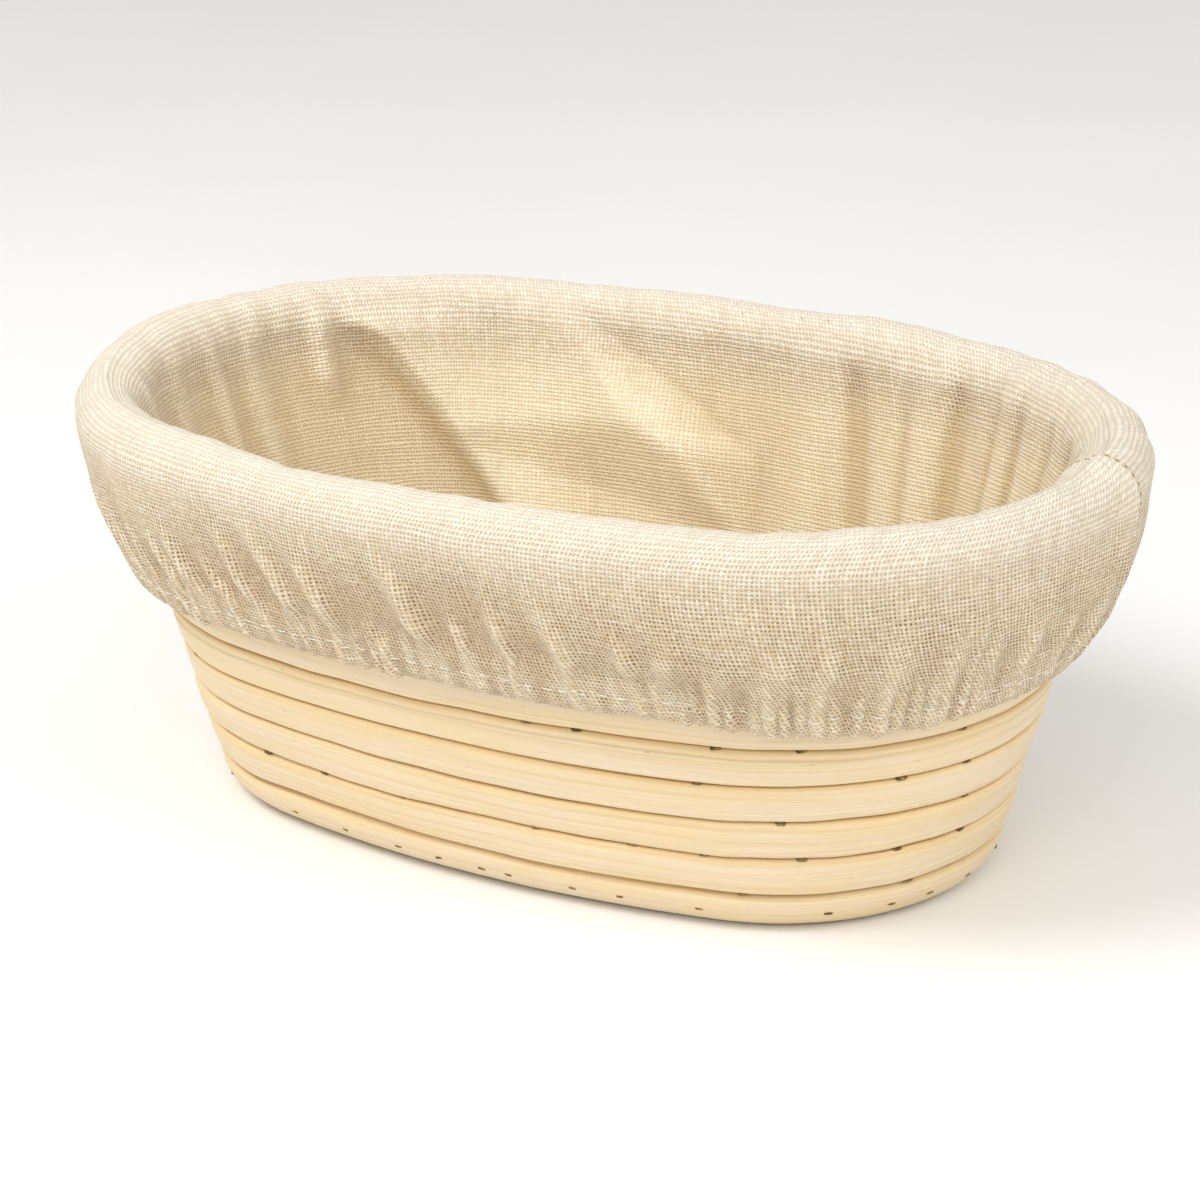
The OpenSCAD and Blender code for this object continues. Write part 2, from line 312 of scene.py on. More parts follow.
def cane_material(name, seed, tint=0.0):
    """Rattan cane: U runs along the cane, V round it, both in millimetres; the crease attribute is 1 in the joint
    lines, which are darkened with painted shade, and the top attribute is 1 on the upper part of each coil, which goes
    gold with painted shade from the coil above.
    """
    m = Nodes(name)
    u, v = m.uv()
    us = m.math("MULTIPLY", u, 0.012)
    streak_a = m.noise(m.vec(us, m.math("MULTIPLY", v, 1.5), seed * 3.7), 1.0, 5.0, 0.6)
    streak_b = m.noise(m.vec(m.math("MULTIPLY", u, 0.035), m.math("MULTIPLY", v, 5.0), seed * 1.3), 1.0, 3.0, 0.55)
    patch = m.noise(m.vec(m.math("MULTIPLY", u, 0.02), m.math("MULTIPLY", v, 0.12), seed * 9.1), 1.0, 3.0, 0.55)
    fine = m.noise(m.vec(m.math("MULTIPLY", u, 0.35), m.math("MULTIPLY", v, 14.0), seed), 1.0, 2.0, 0.5)
    pale = (0.805, 0.680, 0.505)
    cream = (0.810, 0.665, 0.430)
    gold = (0.795, 0.590, 0.285)
    tan = (0.640, 0.410, 0.150)
    base = m.mix(m.span(patch, 0.35, 0.65), pale, cream)
    base = m.mix(m.span(streak_a, 0.48, 0.74, 0.0, 0.50), base, gold)
    base = m.mix(m.span(streak_b, 0.60, 0.80, 0.0, 0.30), base, tan)
    # painted shade: the upper part of each coil goes gold, as in the shade of the coil above
    top = m.attr("top")
    base = m.mix(m.math("MULTIPLY", top, 0.60), base, gold)
    # painted shade: the joint lines between the coils and the thin groove go tan
    crease_shade = m.attr("crease")
    base = m.mix(m.math("MULTIPLY", crease_shade, 0.38), base, tan)
    lines = m.noise(m.vec(m.math("MULTIPLY", u, 0.006), m.math("MULTIPLY", v, 3.2), seed * 5.1), 1.0, 2.0, 0.5)
    base = m.mix(m.span(lines, 0.52, 0.62, 0.0, 0.50), base, (0.700, 0.490, 0.235))
    base = m.mix(m.span(fine, 0.40, 0.75, 0.0, 0.22), base, (0.700, 0.520, 0.300))
    fleck = m.noise(m.vec(m.math("MULTIPLY", u, 0.30), m.math("MULTIPLY", v, 1.6), seed * 7.7), 1.0, 1.0, 0.4)
    base = m.mix(m.span(fleck, 0.78, 0.82, 0.0, 0.55), base, (0.420, 0.260, 0.110))
    hgt = m.math("ADD", m.math("MULTIPLY", lines, -0.9), m.math("ADD", m.math("MULTIPLY", streak_b, 0.5), m.math("MULTIPLY", fine, 0.4)))
    nrm = m.bump(hgt, 0.45, 0.0005)
    rough = m.span(streak_b, 0.3, 0.7, 0.42, 0.58, "LINEAR")
    m.bsdf.inputs["Specular IOR Level"].default_value = 0.35
    m.bsdf.inputs["Subsurface Weight"].default_value = 0.0
    return m.done(base, rough, nrm)


def linen_material(name, pitch=0.90, seed=1.0):
    """Coarse plain weave. U and V run along the threads, in millimetres; the deep attribute is 1 in the bottom of a
    fold, where the weave is drawn more open and painted shade is added; the inner attribute paints the inside face
    lighter and warmer, and the turned attribute paints a pale sheen over the rim.
    """
    m = Nodes(name)
    u, v = m.uv()
    p2 = m.vec(u, v, seed)
    deep = m.attr("deep")
    wob_u = m.math("MULTIPLY", m.math("SUBTRACT", m.noise(m.vec(u, m.math("MULTIPLY", v, 0.25), seed), 0.22, 2.0), 0.5), 1.3)
    wob_v = m.math("MULTIPLY", m.math("SUBTRACT", m.noise(m.vec(m.math("MULTIPLY", u, 0.25), v, seed + 5), 0.22, 2.0), 0.5), 1.3)
    uu = m.math("DIVIDE", m.math("ADD", u, wob_u), pitch)
    vv = m.math("DIVIDE", m.math("ADD", v, wob_v), pitch)
    iu, iv = m.math("FLOOR", uu), m.math("FLOOR", vv)
    fu, fv = m.math("FRACT", uu), m.math("FRACT", vv)
    # each thread's own thickness, with thick and thin places along it
    tu = m.noise(m.vec(m.math("MULTIPLY", iu, 7.31), m.math("MULTIPLY", v, 0.20), seed), 1.0, 2.0, 0.6)
    tv = m.noise(m.vec(m.math("MULTIPLY", u, 0.20), m.math("MULTIPLY", iv, 5.77), seed + 2), 1.0, 2.0, 0.6)
    cu = m.math("ABSOLUTE", m.math("SUBTRACT", fu, 0.5))       # 0 mid thread .. 0.5 at its edge
    cv = m.math("ABSOLUTE", m.math("SUBTRACT", fv, 0.5))
    thin = m.span(deep, 0.0, 1.0, 0.10, 0.0, "LINEAR")
    half_u = m.math("ADD", m.span(tu, 0.25, 0.75, 0.27, 0.42, "LINEAR"), thin)
    half_v = m.math("ADD", m.span(tv, 0.25, 0.75, 0.27, 0.42, "LINEAR"), thin)
    prof_u = m.math("SUBTRACT", 1.0, m.math("POWER", m.math("MINIMUM", m.math("DIVIDE", cu, half_u), 1.0), 2.0))
    prof_v = m.math("SUBTRACT", 1.0, m.math("POWER", m.math("MINIMUM", m.math("DIVIDE", cv, half_v), 1.0), 2.0))
    # over and under
    par = m.math("MULTIPLY", m.math("FRACT", m.math("MULTIPLY", m.math("ADD", iu, iv), 0.5)), 2.0)
    sgn = m.math("SUBTRACT", m.math("MULTIPLY", par, 2.0), 1.0)
    lift = m.math("MULTIPLY", sgn, m.math("MULTIPLY", m.math("SINE", m.math("MULTIPLY", fu, math.pi)), m.math("SINE", m.math("MULTIPLY", fv, math.pi))))
    h_u = m.math("MULTIPLY", prof_u, m.math("MULTIPLY_ADD", lift, 0.28, 0.72))
    h_v = m.math("MULTIPLY", prof_v, m.math("MULTIPLY_ADD", lift, -0.28, 0.72))
    h = m.math("MAXIMUM", h_u, h_v)
    big = m.noise(p2, 0.045, 3.0, 0.55)
    mid = m.noise(p2, 0.30, 3.0, 0.6)
    # open places between the threads
    hole_shade = m.span(h, 0.05, 0.58, 1.0, 0.0)
    # each gap is open by its own amount
    gu = m.math("FLOOR", m.math("ADD", uu, 0.5))
    gv = m.math("FLOOR", m.math("ADD", vv, 0.5))
    own = m.white(m.math("ADD", m.math("MULTIPLY", gu, 12.989), m.math("MULTIPLY", gv, 78.233)))
    hole_shade = m.math("MULTIPLY", hole_shade, m.span(own, 0.0, 1.0, 0.20, 1.50, "LINEAR"), clamp=True)
    keep = m.span(m.math("ADD", m.math("MULTIPLY", mid, 0.6), m.math("MULTIPLY", big, 0.4)), 0.35, 0.65, 0.55, 1.0)
    keep = m.math("MULTIPLY", keep, m.math("MULTIPLY_ADD", deep, 1.25, 0.20), clamp=True)
    hole_shade = m.math("MULTIPLY", hole_shade, keep)
    fibre = m.noise(p2, 3.2, 2.0, 0.6)
    thread = m.math("ADD", m.math("MULTIPLY", m.white(m.math("ADD", iu, 0.5)), 0.5), m.math("MULTIPLY", m.white(m.math("ADD", iv, 900.5)), 0.5))
    # each crown of a thread takes the light differently
    crown = m.white(m.math("ADD", m.math("MULTIPLY", iu, 37.719), m.math("MULTIPLY", iv, 11.137)))
    tone = m.math("ADD", m.math("MULTIPLY", thread, 0.30), m.math("ADD", m.math("MULTIPLY", fibre, 0.30), m.math("MULTIPLY", crown, 0.40)))
    pale = (0.885, 0.790, 0.625)
    mids = (0.735, 0.600, 0.415)
    col = m.mix(m.span(tone, 0.30, 0.70), mids, pale)
    col = m.mix(m.span(mid, 0.45, 0.75, 0.0, 0.28), col, (0.680, 0.555, 0.375))
    cast = m.noise(m.vec(m.math("MULTIPLY", u, 0.55), m.math("MULTIPLY", v, 0.75), seed + 71), 1.0, 3.0, 0.6)
    col = m.mix(m.span(cast, 0.52, 0.68, 0.0, 0.45), col, (0.815, 0.655, 0.485))
    col = m.mix(m.span(cast, 0.48, 0.34, 0.0, 0.40), col, (0.725, 0.640, 0.425))
    # painted shade: the valleys between the threads are darker, and the open places are painted dark brown for the
    # shade seen through them
    inner = m.attr("inner")
    thread_valley_shade = m.math("MULTIPLY", m.span(h, 0.25, 0.92, 0.62, 0.0), m.math("MULTIPLY_ADD", inner, -0.45, 1.0))
    col = m.mix(thread_valley_shade, col, (0.540, 0.385, 0.215))
    col = m.mix(hole_shade, col, (0.185, 0.095, 0.032))
    # slubs and specks of husk
    speck = m.noise(m.vec(u, v, seed + 31), 0.85, 1.0, 0.3)
    col = m.mix(m.span(speck, 0.770, 0.815, 0.0, 0.85), col, (0.170, 0.095, 0.040))
    slub = m.noise(m.vec(m.math("MULTIPLY", u, 0.35), m.math("MULTIPLY", v, 1.9), seed + 47), 0.9, 1.0, 0.4)
    col = m.mix(m.span(slub, 0.72, 0.80, 0.0, 0.45), col, (0.900, 0.850, 0.740))
    # painted shade: browner in the bottoms of the folds
    col = m.mix(m.math("MULTIPLY", m.math("POWER", deep, 2.0), 0.30), col, (0.480, 0.325, 0.170))
    # painted light: the inside face is made lighter and warmer, as in warm bounced light
    col = m.mix(m.math("MULTIPLY", inner, 0.52), col, (0.930, 0.810, 0.570))
    # painted shade: browner on the inside where the lining lies back in shade
    col = m.mix(m.math("MULTIPLY", m.math("MULTIPLY", inner, deep), 0.62), col, (0.690, 0.510, 0.275))
    # painted sheen: pale and less yellow where the fluffy cloth is drawn over the rim and catches the light
    col = m.mix(m.math("MULTIPLY", m.attr("turned"), 0.42), col, (0.870, 0.845, 0.775))
    hh = m.math("ADD", h, m.math("MULTIPLY", fibre, 0.18))
    nrm = m.bump(hh, 0.85, 0.00050)
    mat = m.done(col, 0.92, nrm)
    b = m.bsdf.inputs
    b["Specular IOR Level"].default_value = 0.15
    b["Sheen Weight"].default_value = 0.20
    b["Sheen Roughness"].default_value = 0.55
    return mat


def plain_thread(name, col, seed=1.0):
    m = Nodes(name)
    p = m.pos()
    n = m.noise(p, 900.0, 3.0, 0.6)
    c = m.mix(m.span(n, 0.35, 0.65), tuple(x * 0.82 for x in col), col)
    return m.done(c, 0.8, m.bump(n, 0.5, 0.0002))


def steel_material(name):
    m = Nodes(name)
    p = m.pos()
    n = m.noise(p, 700.0, 4.0, 0.6)
    m.bsdf.inputs["Specular IOR Level"].default_value = 0.20
    c = m.mix(m.span(n, 0.4, 0.65), (0.120, 0.062, 0.018), (0.380, 0.225, 0.085))
    return m.done(c, m.span(n, 0.3, 0.7, 0.45, 0.75, "LINEAR"), m.bump(n, 0.3, 0.0001))


def elastic_material(name):
    m = Nodes(name)
    p = m.pos()
    n = m.noise(p, 1500.0, 2.0, 0.5)
    c = m.mix(m.span(n, 0.35, 0.65), (0.62, 0.60, 0.55), (0.82, 0.81, 0.77))
    return m.done(c, 0.85, m.bump(n, 0.6, 0.0003))


def floor_material(name):
    m = Nodes(name)
    p = m.pos()
    n = m.noise(p, 6.0, 4.0, 0.5)
    c = m.mix(m.span(n, 0.3, 0.7), (0.86, 0.86, 0.855), (0.885, 0.885, 0.88))
    return m.done(c, 0.7)


MAT_CANE = [cane_material("cane_%d" % i, 1.0 + i * 2.3) for i in range(4)]
MAT_LINEN = linen_material("linen_weave")
MAT_LINEN_B = linen_material("linen_weave_panel", seed=4.0)
MAT_STEEL = steel_material("staple_steel")
MAT_THREAD = plain_thread("white_thread", (0.84, 0.79, 0.68))
# brown for the closing seam's stitches: painted shade for the shadows round them
MAT_SEAM_SHADE = plain_thread("seam_thread_shade", (0.44, 0.30, 0.15))
MAT_ELASTIC = elastic_material("elastic_knit")


# ----------------------------------------------------------------- canes
def joint_shift(k, s):
    """How the joint line above ring k wanders: (outward, upward), in millimetres."""
    if k <= 0:
        return np.zeros_like(s), np.zeros_like(s)
    rise = waves(s, 60, 330, 0.16, 300 + k, 6) + waves(s, 14, 45, 0.05, 500 + k, 6)
    if k >= 10:
        rise = rise * 0.4
    return waves(s, 50, 300, 0.16, 100 + k, 6), rise


def cane_ring(k, fine=True):
    nu = 640 if fine else 360
    nout, nin = (52, 20) if fine else (26, 14)
    s = np.arange(nu) * GIRTH / nu
    # round the section: 0 outward, 90 up, 180 inward, 270 down
    a = np.concatenate([np.linspace(-88, 88, nout, endpoint=False), np.linspace(88, 272, nin, endpoint=False)])
    a = np.radians(a)
    S, A = np.meshgrid(s, a, indexing="ij")
    d0, z0 = joint_shift(k - 1, s)
    d1, z1 = joint_shift(k, s)
    zl = ring_z(k - 1) + z0
    zh = ring_z(k) + z1
    zc, hh = (zl + zh) / 2, (zh - zl) / 2 - 0.01
    n = 4.3 + waves(s, 80, 300, 0.45, 700 + k, 4)
    ca, sa = np.cos(A), np.sin(A)
    e = (2 / n)[:, None]
    cx = np.sign(ca) * np.abs(ca) ** e
    sz = np.sign(sa) * np.abs(sa) ** e
    rel = sz                                          # -1 bottom .. 1 top
    if k == 1:
        # round outside and underneath, flat foot
        Z = zc[:, None] + hh[:, None] * sz
        Zc = np.clip(Z, 0.0, None)
        face = FOOT_B - 6.45 + np.sqrt(np.clip(9.2 ** 2 - (Zc - 9) ** 2, 0, None))
        inner = FOOT_B - 7.45 + 0.05
        half = (face - inner) / 2
        mid = (face + inner) / 2
        edge = np.where(cx > 0, 1.0, np.abs(cx))
        top = np.clip((rel - 0.55) / 0.45, 0, 1)
        out = np.where(cx > 0, face - 2.2 * top ** 2.6, mid - half * np.abs(cx))
        B = np.where(cx > 0, mid + (out - mid) * np.minimum(1, np.abs(cx) * 1.6 + (1 - np.abs(cx)) * (np.abs(sz) < 0.985)), out)
        B = np.where(cx > 0, mid + (out - mid) * np.abs(cx) ** 0.35, mid - half * np.abs(cx))
        Z = np.clip(Z, 0.0, None)
    else:
        ht = (CANE_T / math.cos(math.atan(LEAN)) + 2 * BULGE) / 2
        bc = wall(zc) + BULGE - ht
        shift = d0[:, None] * (1 - rel) / 2 + d1[:, None] * (1 + rel) / 2
        fat = (1 + waves(s, 40, 220, 0.02, 900 + k, 5))[:, None]
        B = bc[:, None] + LEAN * (hh[:, None] * sz) + ht * fat * cx + np.where(cx > 0, shift, 0)
        Z = zc[:, None] + hh[:, None] * sz
        if k == 10:
            Z = np.where(sz > 0, zc[:, None] + hh[:, None] * np.sign(sa) * np.abs(sa) ** 1.15, Z)
            B = np.where(sz > 0, bc[:, None] + LEAN * (Z - zc[:, None]) + ht * fat * np.sign(ca) * np.abs(ca) ** 0.75, B)
    # lengthwise flats and grooves, which drift slowly round the ring
    rng = np.random.default_rng(40 + k)
    groove = np.zeros_like(B)
    lines = [(0.62, 0.16, 0.10), (0.30, 0.10, 0.08), (-0.15, 0.07, 0.09), (-0.5, 0.08, 0.10)]
    for i, (at, depth, w) in enumerate(lines):
        at2 = at + rng.uniform(-0.12, 0.12) + waves(s, 90, 400, 0.06, 1000 + 10 * k + i, 4)
        on = smooth(-0.2, 0.5, waves(s, 60, 300, 0.6, 2000 + 10 * k + i, 5) + 0.25)
        groove -= (depth * on)[:, None] * np.exp(-((rel - at2[:, None]) / w) ** 2)
    groove += 0.05 * np.sin(rel * 9 + 3 * waves(s, 60, 250, 1.0, 3000 + k, 4)[:, None])
    B = B + np.where(cx > 0, groove * np.clip(cx * 1.5, 0, 1), 0)
    line = np.zeros_like(B)
    if k == 5:
        # a second thin line runs along this cane, a little under its upper joint
        tt = np.degrees(turn_at(s))[:, None]
        line = np.exp(-((Z - (zh[:, None] - 2.2)) / 0.28) ** 2) * (cx > 0.3) * smooth(-165, -140, tt) * smooth(48, 25, tt)
        B = B - 0.32 * line
    X, Y = place(S, B)
    # surface facts for the material: painted shade on the upper part of each coil, under the coil above, and painted
    # shade in the joint lines and in the thin groove
    top = smooth(0.35, 0.95, rel) * (cx > 0)
    crease = np.maximum(smooth(0.80, 1.0, np.abs(rel)), 0) * 1.0
    if k == 1:
        crease = smooth(0.80, 1.0, rel)
    crease = np.maximum(crease, 1.4 * line)
    arc = np.r_[0, np.cumsum(np.hypot(np.diff(B[0]), np.diff(Z[0])))]
    arc = np.r_[arc, arc[-1] + 1.0]
    off = 517.3 * k
    U = np.repeat((np.arange(nu + 1) * GIRTH / nu + off)[:, None], len(a) + 1, 1)
    V = np.repeat((arc + 31.7 * k)[None, :], nu + 1, 0)
    name = "cane_wall_%02d" % k
    ob = grid_mesh(name, X, Y, Z, (U, V), True, True, flip=True, attrs={"top": top, "crease": crease})
    ob.data.materials.append(MAT_CANE[k % 4])
    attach(ob, "basket")
    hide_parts("wall_ring_%02d" % k if k < 10 else "rim_ring_10")
    return ob


for k in range(1, 11):
    cane_ring(k, fine=k <= 7)


def flat_coil(k):
    """A coil lying in the base, counted from the wall inwards."""
    nu, nv = 420, 40
    outer = FOOT_B - 7.45 - 0.1 - (k - 1) * 8.7
    w, h = 8.6, 9.2
    s = np.arange(nu) * GIRTH / nu
    a = np.radians(np.arange(nv) * 360 / nv)
    S, A = np.meshgrid(s, a, indexing="ij")
    n = 3.0
    cx = np.sign(np.cos(A)) * np.abs(np.cos(A)) ** (2 / n)
    sz = np.sign(np.sin(A)) * np.abs(np.sin(A)) ** (2 / n)
    B = outer - w / 2 + (w / 2) * cx * (1 - 0.004)
    Z = h / 2 + (h / 2) * sz
    Z = np.maximum(Z, 0.0) + 0.10 * (waves(s, 60, 300, 0.6, 60 + k, 5)[:, None] * (sz > 0.2)) * sz
    Z = np.minimum(Z, 9.35)
    g = 0.12 * np.sin(cx * 7 + waves(s, 50, 200, 1.0, 70 + k, 5)[:, None])
    Z = Z + np.where(sz < -0.9, np.abs(g) * 0.6, 0)
    X, Y = place(S, B)
    # painted shade in the joints between the base coils
    crease = smooth(0.85, 1.0, np.abs(cx))
    arc = np.r_[0, np.cumsum(np.hypot(np.diff(B[0]), np.diff(Z[0])))]
    arc = np.r_[arc, arc[-1] + 0.7]
    U = np.repeat((np.arange(nu + 1) * GIRTH / nu * 0.6 + 733.1 * k)[:, None], nv + 1, 1)
    V = np.repeat((arc + 57.7 * k)[None, :], nu + 1, 0)
    ob = grid_mesh("cane_base_%02d" % k, X, Y, Z, (U, V), True, True, flip=True,
                   attrs={"top": np.zeros_like(X), "crease": crease})
    ob.data.materials.append(MAT_CANE[(k + 1) % 4])
    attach(ob, "basket")
    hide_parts("base_coil_%02d" % k)


for k in range(1, 5):
    flat_coil(k)


def core_cane():
    """The straight cane that the base is coiled round."""
    outer = FOOT_B - 7.45 - 0.1 - 4 * 8.7
    nu, nv = 240, 40
    s = np.arange(nu) * GIRTH / nu
    lev = np.concatenate([np.linspace(0, 1, 9)[:-1] ** 0.7 * 0 + 0])
    prof = [(0.02, 0.0), (0.5, 0.0), (0.80, 0.06), (0.93, 0.35), (1.0, 1.2), (1.0, 4.6), (1.0, 8.0), (0.93, 8.85), (0.80, 9.14), (0.5, 9.2), (0.02, 9.2)]
    pb = np.array([p[0] for p in prof])
    pz = np.array([p[1] for p in prof])
    S, K = np.meshgrid(s, np.arange(len(prof)), indexing="ij")
    XO, YO = place(s, np.full(nu, outer))
    X = XO[:, None] * np.where(pb < 0.1, 0.6, 1.0)[None, :] * 1.0
    X = np.where(np.abs(X) > EX * 0 , X, X)
    Y = YO[:, None] * pb[None, :]
    Xe = np.sign(XO) * np.minimum(np.abs(XO), EX)
    X = Xe[:, None] + (XO - Xe)[:, None] * pb[None, :]
    X = np.where(pb[None, :] < 0.1, X * 0.98, X)
    Z = np.repeat(pz[None, :], nu, 0)
    U = np.concatenate([X, X[:1]], 0) + 200.0
    V = np.concatenate([Y, Y[:1]], 0) + 77.0
    # painted shade on the core's outer side, where it meets the innermost coil
    ob = grid_mesh("cane_base_core", X, Y, Z, None, True, False, flip=True,
                   attrs={"top": np.zeros_like(X), "crease": np.repeat(smooth(0.85, 1.0, pb)[None, :], nu, 0)})
    me = ob.data
    # caps across the two narrow slots that the outline leaves
    import bmesh
    bm = bmesh.new()
    bm.from_mesh(me)
    edges = [e for e in bm.edges if e.is_boundary]
    bmesh.ops.holes_fill(bm, edges=edges, sides=0)
    bmesh.ops.triangulate(bm, faces=[f for f in bm.faces if len(f.verts) > 4])
    bmesh.ops.recalc_face_normals(bm, faces=bm.faces)
    uvl = bm.loops.layers.uv.new("UVMap")
    for f in bm.faces:
        for l in f.loops:
            l[uvl].uv = (l.vert.co.x / MM + 200.0, (l.vert.co.y + l.vert.co.z) / MM + 77.0)
    bm.to_mesh(me)
    bm.free()
    me.shade_smooth()
    ob.data.materials.append(MAT_CANE[2])
    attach(ob, "basket")
    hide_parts("base_core")


core_cane()


foot_me = bpy.data.objects["cane_wall_01"].data
foot_face = BVHTree.FromPolygons([v.co[:] for v in foot_me.vertices], [tuple(q.vertices) for q in foot_me.polygons])


def bent_staples(name, seed, sink):
    """Round wire staples with bent shoulders, one for each of the node's, a little crooked as they are driven in by hand."""
    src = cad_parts[name]
    me = src.data
    co = np.array([list(src.matrix_world @ v.co) for v in me.vertices]) / MM
    root = list(range(len(co)))

    def find(i):
        while root[i] != i:
            root[i] = root[root[i]]
            i = root[i]
        return i

    for e in me.edges:
        root[find(e.vertices[0])] = find(e.vertices[1])
    # vertices in the same place belong together
    seen = {}
    for i, q in enumerate(np.round(co, 3)):
        k = tuple(q)
        if k in seen:
            root[find(i)] = find(seen[k])
        seen[k] = i
    groups = {}
    for i in range(len(co)):
        groups.setdefault(find(i), []).append(i)
    rng = np.random.default_rng(seed)
    parts = []
    for g in groups.values():
        q = co[g]
        mid = (q.max(0) + q.min(0)) / 2
        c = q - q.mean(0)
        ev, vec = np.linalg.eigh(c.T @ c)
        if name == "base_staples":
            depth = np.array([0, 0, -1.0])
            crown = q[q[:, 2] < q[:, 2].min() + 0.6]
        else:
            r = np.hypot(q[:, 0] - np.clip(q[:, 0], -EX, EX), q[:, 1]) if abs(mid[0]) > EX else q[:, 1] * np.sign(mid[1])
            crown = q[r > r.max() - 0.45]
            d = np.array([q.mean(0)[0] - np.clip(mid[0], -EX, EX), mid[1], 0.0])
            d = crown.mean(0) - q.mean(0)
            d[2] = 0
            depth = d / np.linalg.norm(d)
        m0 = crown.mean(0)
        if name == "foot_staples":
            # bedded in the face of the first cane, wherever that runs
            hit = foot_face.ray_cast(Vector((m0 + depth * 8) * MM), Vector(-depth), 0.02)
            if hit[0] is not None:
                m0 = np.array(hit[0]) / MM + depth * 0.08
        cc = crown - m0
        w, vv = np.linalg.eigh(cc.T @ cc)
        along = vv[:, 2]
        length = (cc @ along).max() - (cc @ along).min()
        side = np.cross(depth, along)
        ang = rng.normal(0, 0.10)
        along = along * math.cos(ang) + side * math.sin(ang)
        half = length / 2 * rng.uniform(0.86, 1.0) - (0.05 if name == "foot_staples" else 0.22)
        push = sink + rng.uniform(-0.06, 0.10)
        pts = []
        for a, b in ((-1, 2.2), (-1, 1.2), (-1, 0.55), (-0.93, 0.22), (-0.75, 0.04), (-0.3, 0.0), (0.3, 0.0), (0.75, 0.04), (0.93, 0.22), (1, 0.55), (1, 1.2), (1, 2.2)):
            pts.append(m0 + along * half * a - depth * (b + push))
        P = np.array(pts)
        T = np.gradient(P, axis=0)
        T /= np.linalg.norm(T, axis=1)[:, None]
        N = np.cross(depth, along)
        N /= np.linalg.norm(N)
        V, F = [], []
        for i in range(len(P)):
            Bv = np.cross(T[i], N)
            Bv /= np.linalg.norm(Bv)
            for k in range(8):
                a = 2 * math.pi * k / 8
                V.append(P[i] + 0.32 * (math.cos(a) * N + math.sin(a) * Bv))
        for i in range(len(P) - 1):
            for k in range(8):
                k2 = (k + 1) % 8
                F.append([i * 8 + k, i * 8 + k2, (i + 1) * 8 + k2, (i + 1) * 8 + k])
        F.append(list(range(8))[::-1])
        F.append([(len(P) - 1) * 8 + k for k in range(8)])
        parts.append((np.array(V), F))
    ob = join_meshes(name.replace("staples", "wires"), parts)
    ob.data.materials.append(MAT_STEEL)
    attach(ob, "basket")
    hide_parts(name)


bent_staples("wall_staples", 81, 0.42)
bent_staples("foot_staples", 82, 0.12)
bent_staples("base_staples", 83, 0.25)

# ----------------------------------------------------------------- linen
TURN_Z, TURN_R, TURN_B = 86.4, 6.7, 73.35
CLOTH = 0.8


def skirt_mid(z):
    return TURN_B + TURN_R - 0.00685 * (TURN_Z - z) ** 2 - 0.45


def lining_mid(z):
    return wall(z) - 6.75


def strip_profile(n):
    """The side strip's own line from the bottom seam, up the inside, over the rim, down the skirt and round the hem: (half width, height) and its outward normal."""
    pts = [(lining_mid(z), z) for z in np.linspace(12.0, TURN_Z - 0.5, 24)]
    r = TURN_R - 0.45
    pts += [(TURN_B + r * math.cos(a), TURN_Z + r * math.sin(a)) for a in np.radians(np.linspace(172, 8, 14))]
    pts += [(skirt_mid(z), z) for z in np.linspace(TURN_Z - 1, 56.0, 16)]
    e = skirt_mid(55.0)
    pts += [(e - 0.05, 54.6), (e - 0.75, 52.4), (e - 1.9, 50.3), (e - 3.3, 49.2), (e - 4.7, 49.3), (e - 5.6, 50.4),
            (e - 5.7, 52.3), (e - 4.9, 54.0), (e - 3.3, 55.0), (e - 1.6, 55.6)]
    P = np.array(pts)
    d = np.r_[0, np.cumsum(np.hypot(*np.diff(P, axis=0).T))]
    q = np.linspace(0, d[-1], 4000)
    B, Z = np.interp(q, d, P[:, 0]), np.interp(q, d, P[:, 1])
    k = np.ones(61) / 61
    pad = lambda x: np.r_[np.full(30, x[0]) + (np.arange(-30, 0)) * (x[1] - x[0]), x, np.full(30, x[-1]) + np.arange(1, 31) * (x[-1] - x[-2])]
    B, Z = np.convolve(pad(B), k, "valid"), np.convolve(pad(Z), k, "valid")
    d = np.r_[0, np.cumsum(np.hypot(np.diff(B), np.diff(Z)))]
    # finer rows on the fold and near the hem
    want = 1.0 + 0.9 * smooth(d[-1] * 0.38, d[-1] * 0.46, d) + 0.9 * smooth(d[-1] * 0.68, d[-1] * 0.76, d)
    cum = np.r_[0, np.cumsum((want[1:] + want[:-1]) / 2 * np.diff(d))]
    at = np.interp(np.linspace(0, cum[-1], n), cum, d)
    b, z = np.interp(at, d, B), np.interp(at, d, Z)
    tb, tz = np.gradient(b, at), np.gradient(z, at)
    l = np.hypot(tb, tz)
    return b, z, -tz / l, tb / l, at


NV = 170
NU = 1300
pb, pz, pnb, pnz, pl = strip_profile(NV)
top_l = pl[np.argmax(pz)]
s_line = np.arange(NU) * GIRTH / NU


def ridge(S, Z, path, width, amp, lo=None):
    """A fold's crest along (length, height) points, rounded across and fading at both ends."""
    path = np.array(path, float)
    order = np.argsort(path[:, 1])
    zs, ss = path[order, 1], path[order, 0]
    c = np.interp(Z, zs, ss)
    d = (S - c + GIRTH / 2) % GIRTH - GIRTH / 2
    fade = smooth(zs[0] - 5, zs[0] + 4, Z) * (1 - smooth(zs[-1] - 4, zs[-1] + 5, Z))
    return amp * fade * np.exp(-np.abs(d / width) ** 1.7)


